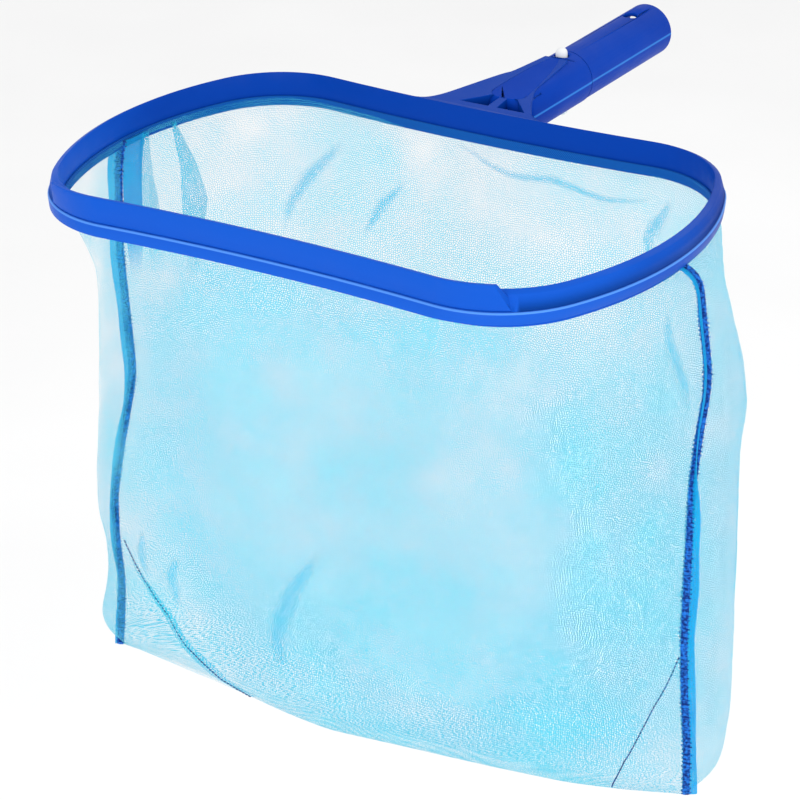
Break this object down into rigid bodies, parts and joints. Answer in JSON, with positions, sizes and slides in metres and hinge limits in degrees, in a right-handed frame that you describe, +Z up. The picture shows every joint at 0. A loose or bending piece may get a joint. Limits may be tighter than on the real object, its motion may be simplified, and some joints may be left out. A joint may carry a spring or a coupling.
{
  "type": "leaf skimmer net",
  "caption": "Deep-bag leaf skimmer net for a pool: a rounded plastic hoop with a scooping front lip, a windowed yoke and tube for a pole, and a hanging mesh bag.",
  "frame": {"origin": "centre of the handle tube's open end, on the tube's axis", "axes": "+Y runs out of the tube's open end along the pole, +Z is up out of the net's mouth, +X is to the right of the hoop seen with the handle pointing away"},
  "size_m": [0.3792, 0.4023, 0.3582],
  "materials": {
    "frame_plastic": "semi-gloss moulded blue plastic",
    "tube_plastic": "semi-gloss moulded blue plastic",
    "ring_plastic": "semi-gloss moulded blue plastic",
    "mesh": "fine light blue knitted mesh, see-through",
    "hem": "woven blue tape",
    "seam_thread": "royal blue overlock stitching",
    "corner_thread": "dark blue lockstitch thread",
    "clip_steel": "stainless spring strip",
    "button_plastic": "white moulded plastic"
  },
  "bodies": {
    "net": {"hoop_frame": "frame_plastic", "handle_tube": "tube_plastic", "clamp_ring": "ring_plastic", "net_bag": "mesh", "hem_tape": "hem", "side_seam_left": "seam_thread", "side_seam_right": "seam_thread", "corner_stitch_left": "corner_thread", "corner_stitch_right": "corner_thread", "clip_bend": "clip_steel"},
    "upper_leaf": {"clip_arm_upper": "clip_steel", "clip_button_upper": "button_plastic"},
    "lower_leaf": {"clip_arm_lower": "clip_steel", "clip_button_lower": "button_plastic"}
  },
  "joints": [
    {"name": "upper_button_press", "type": "hinge", "parent": "net", "child": "upper_leaf", "pos_m": [0, -0.145, 0.009], "axis": [-1, 0, 0], "range_deg": [0, 6.5], "stiffness_Nm_per_rad": 2},
    {"name": "lower_button_press", "type": "hinge", "parent": "net", "child": "lower_leaf", "pos_m": [0, -0.145, -0.009], "axis": [1, 0, 0], "range_deg": [0, 6.5], "stiffness_Nm_per_rad": 2}
  ]
}
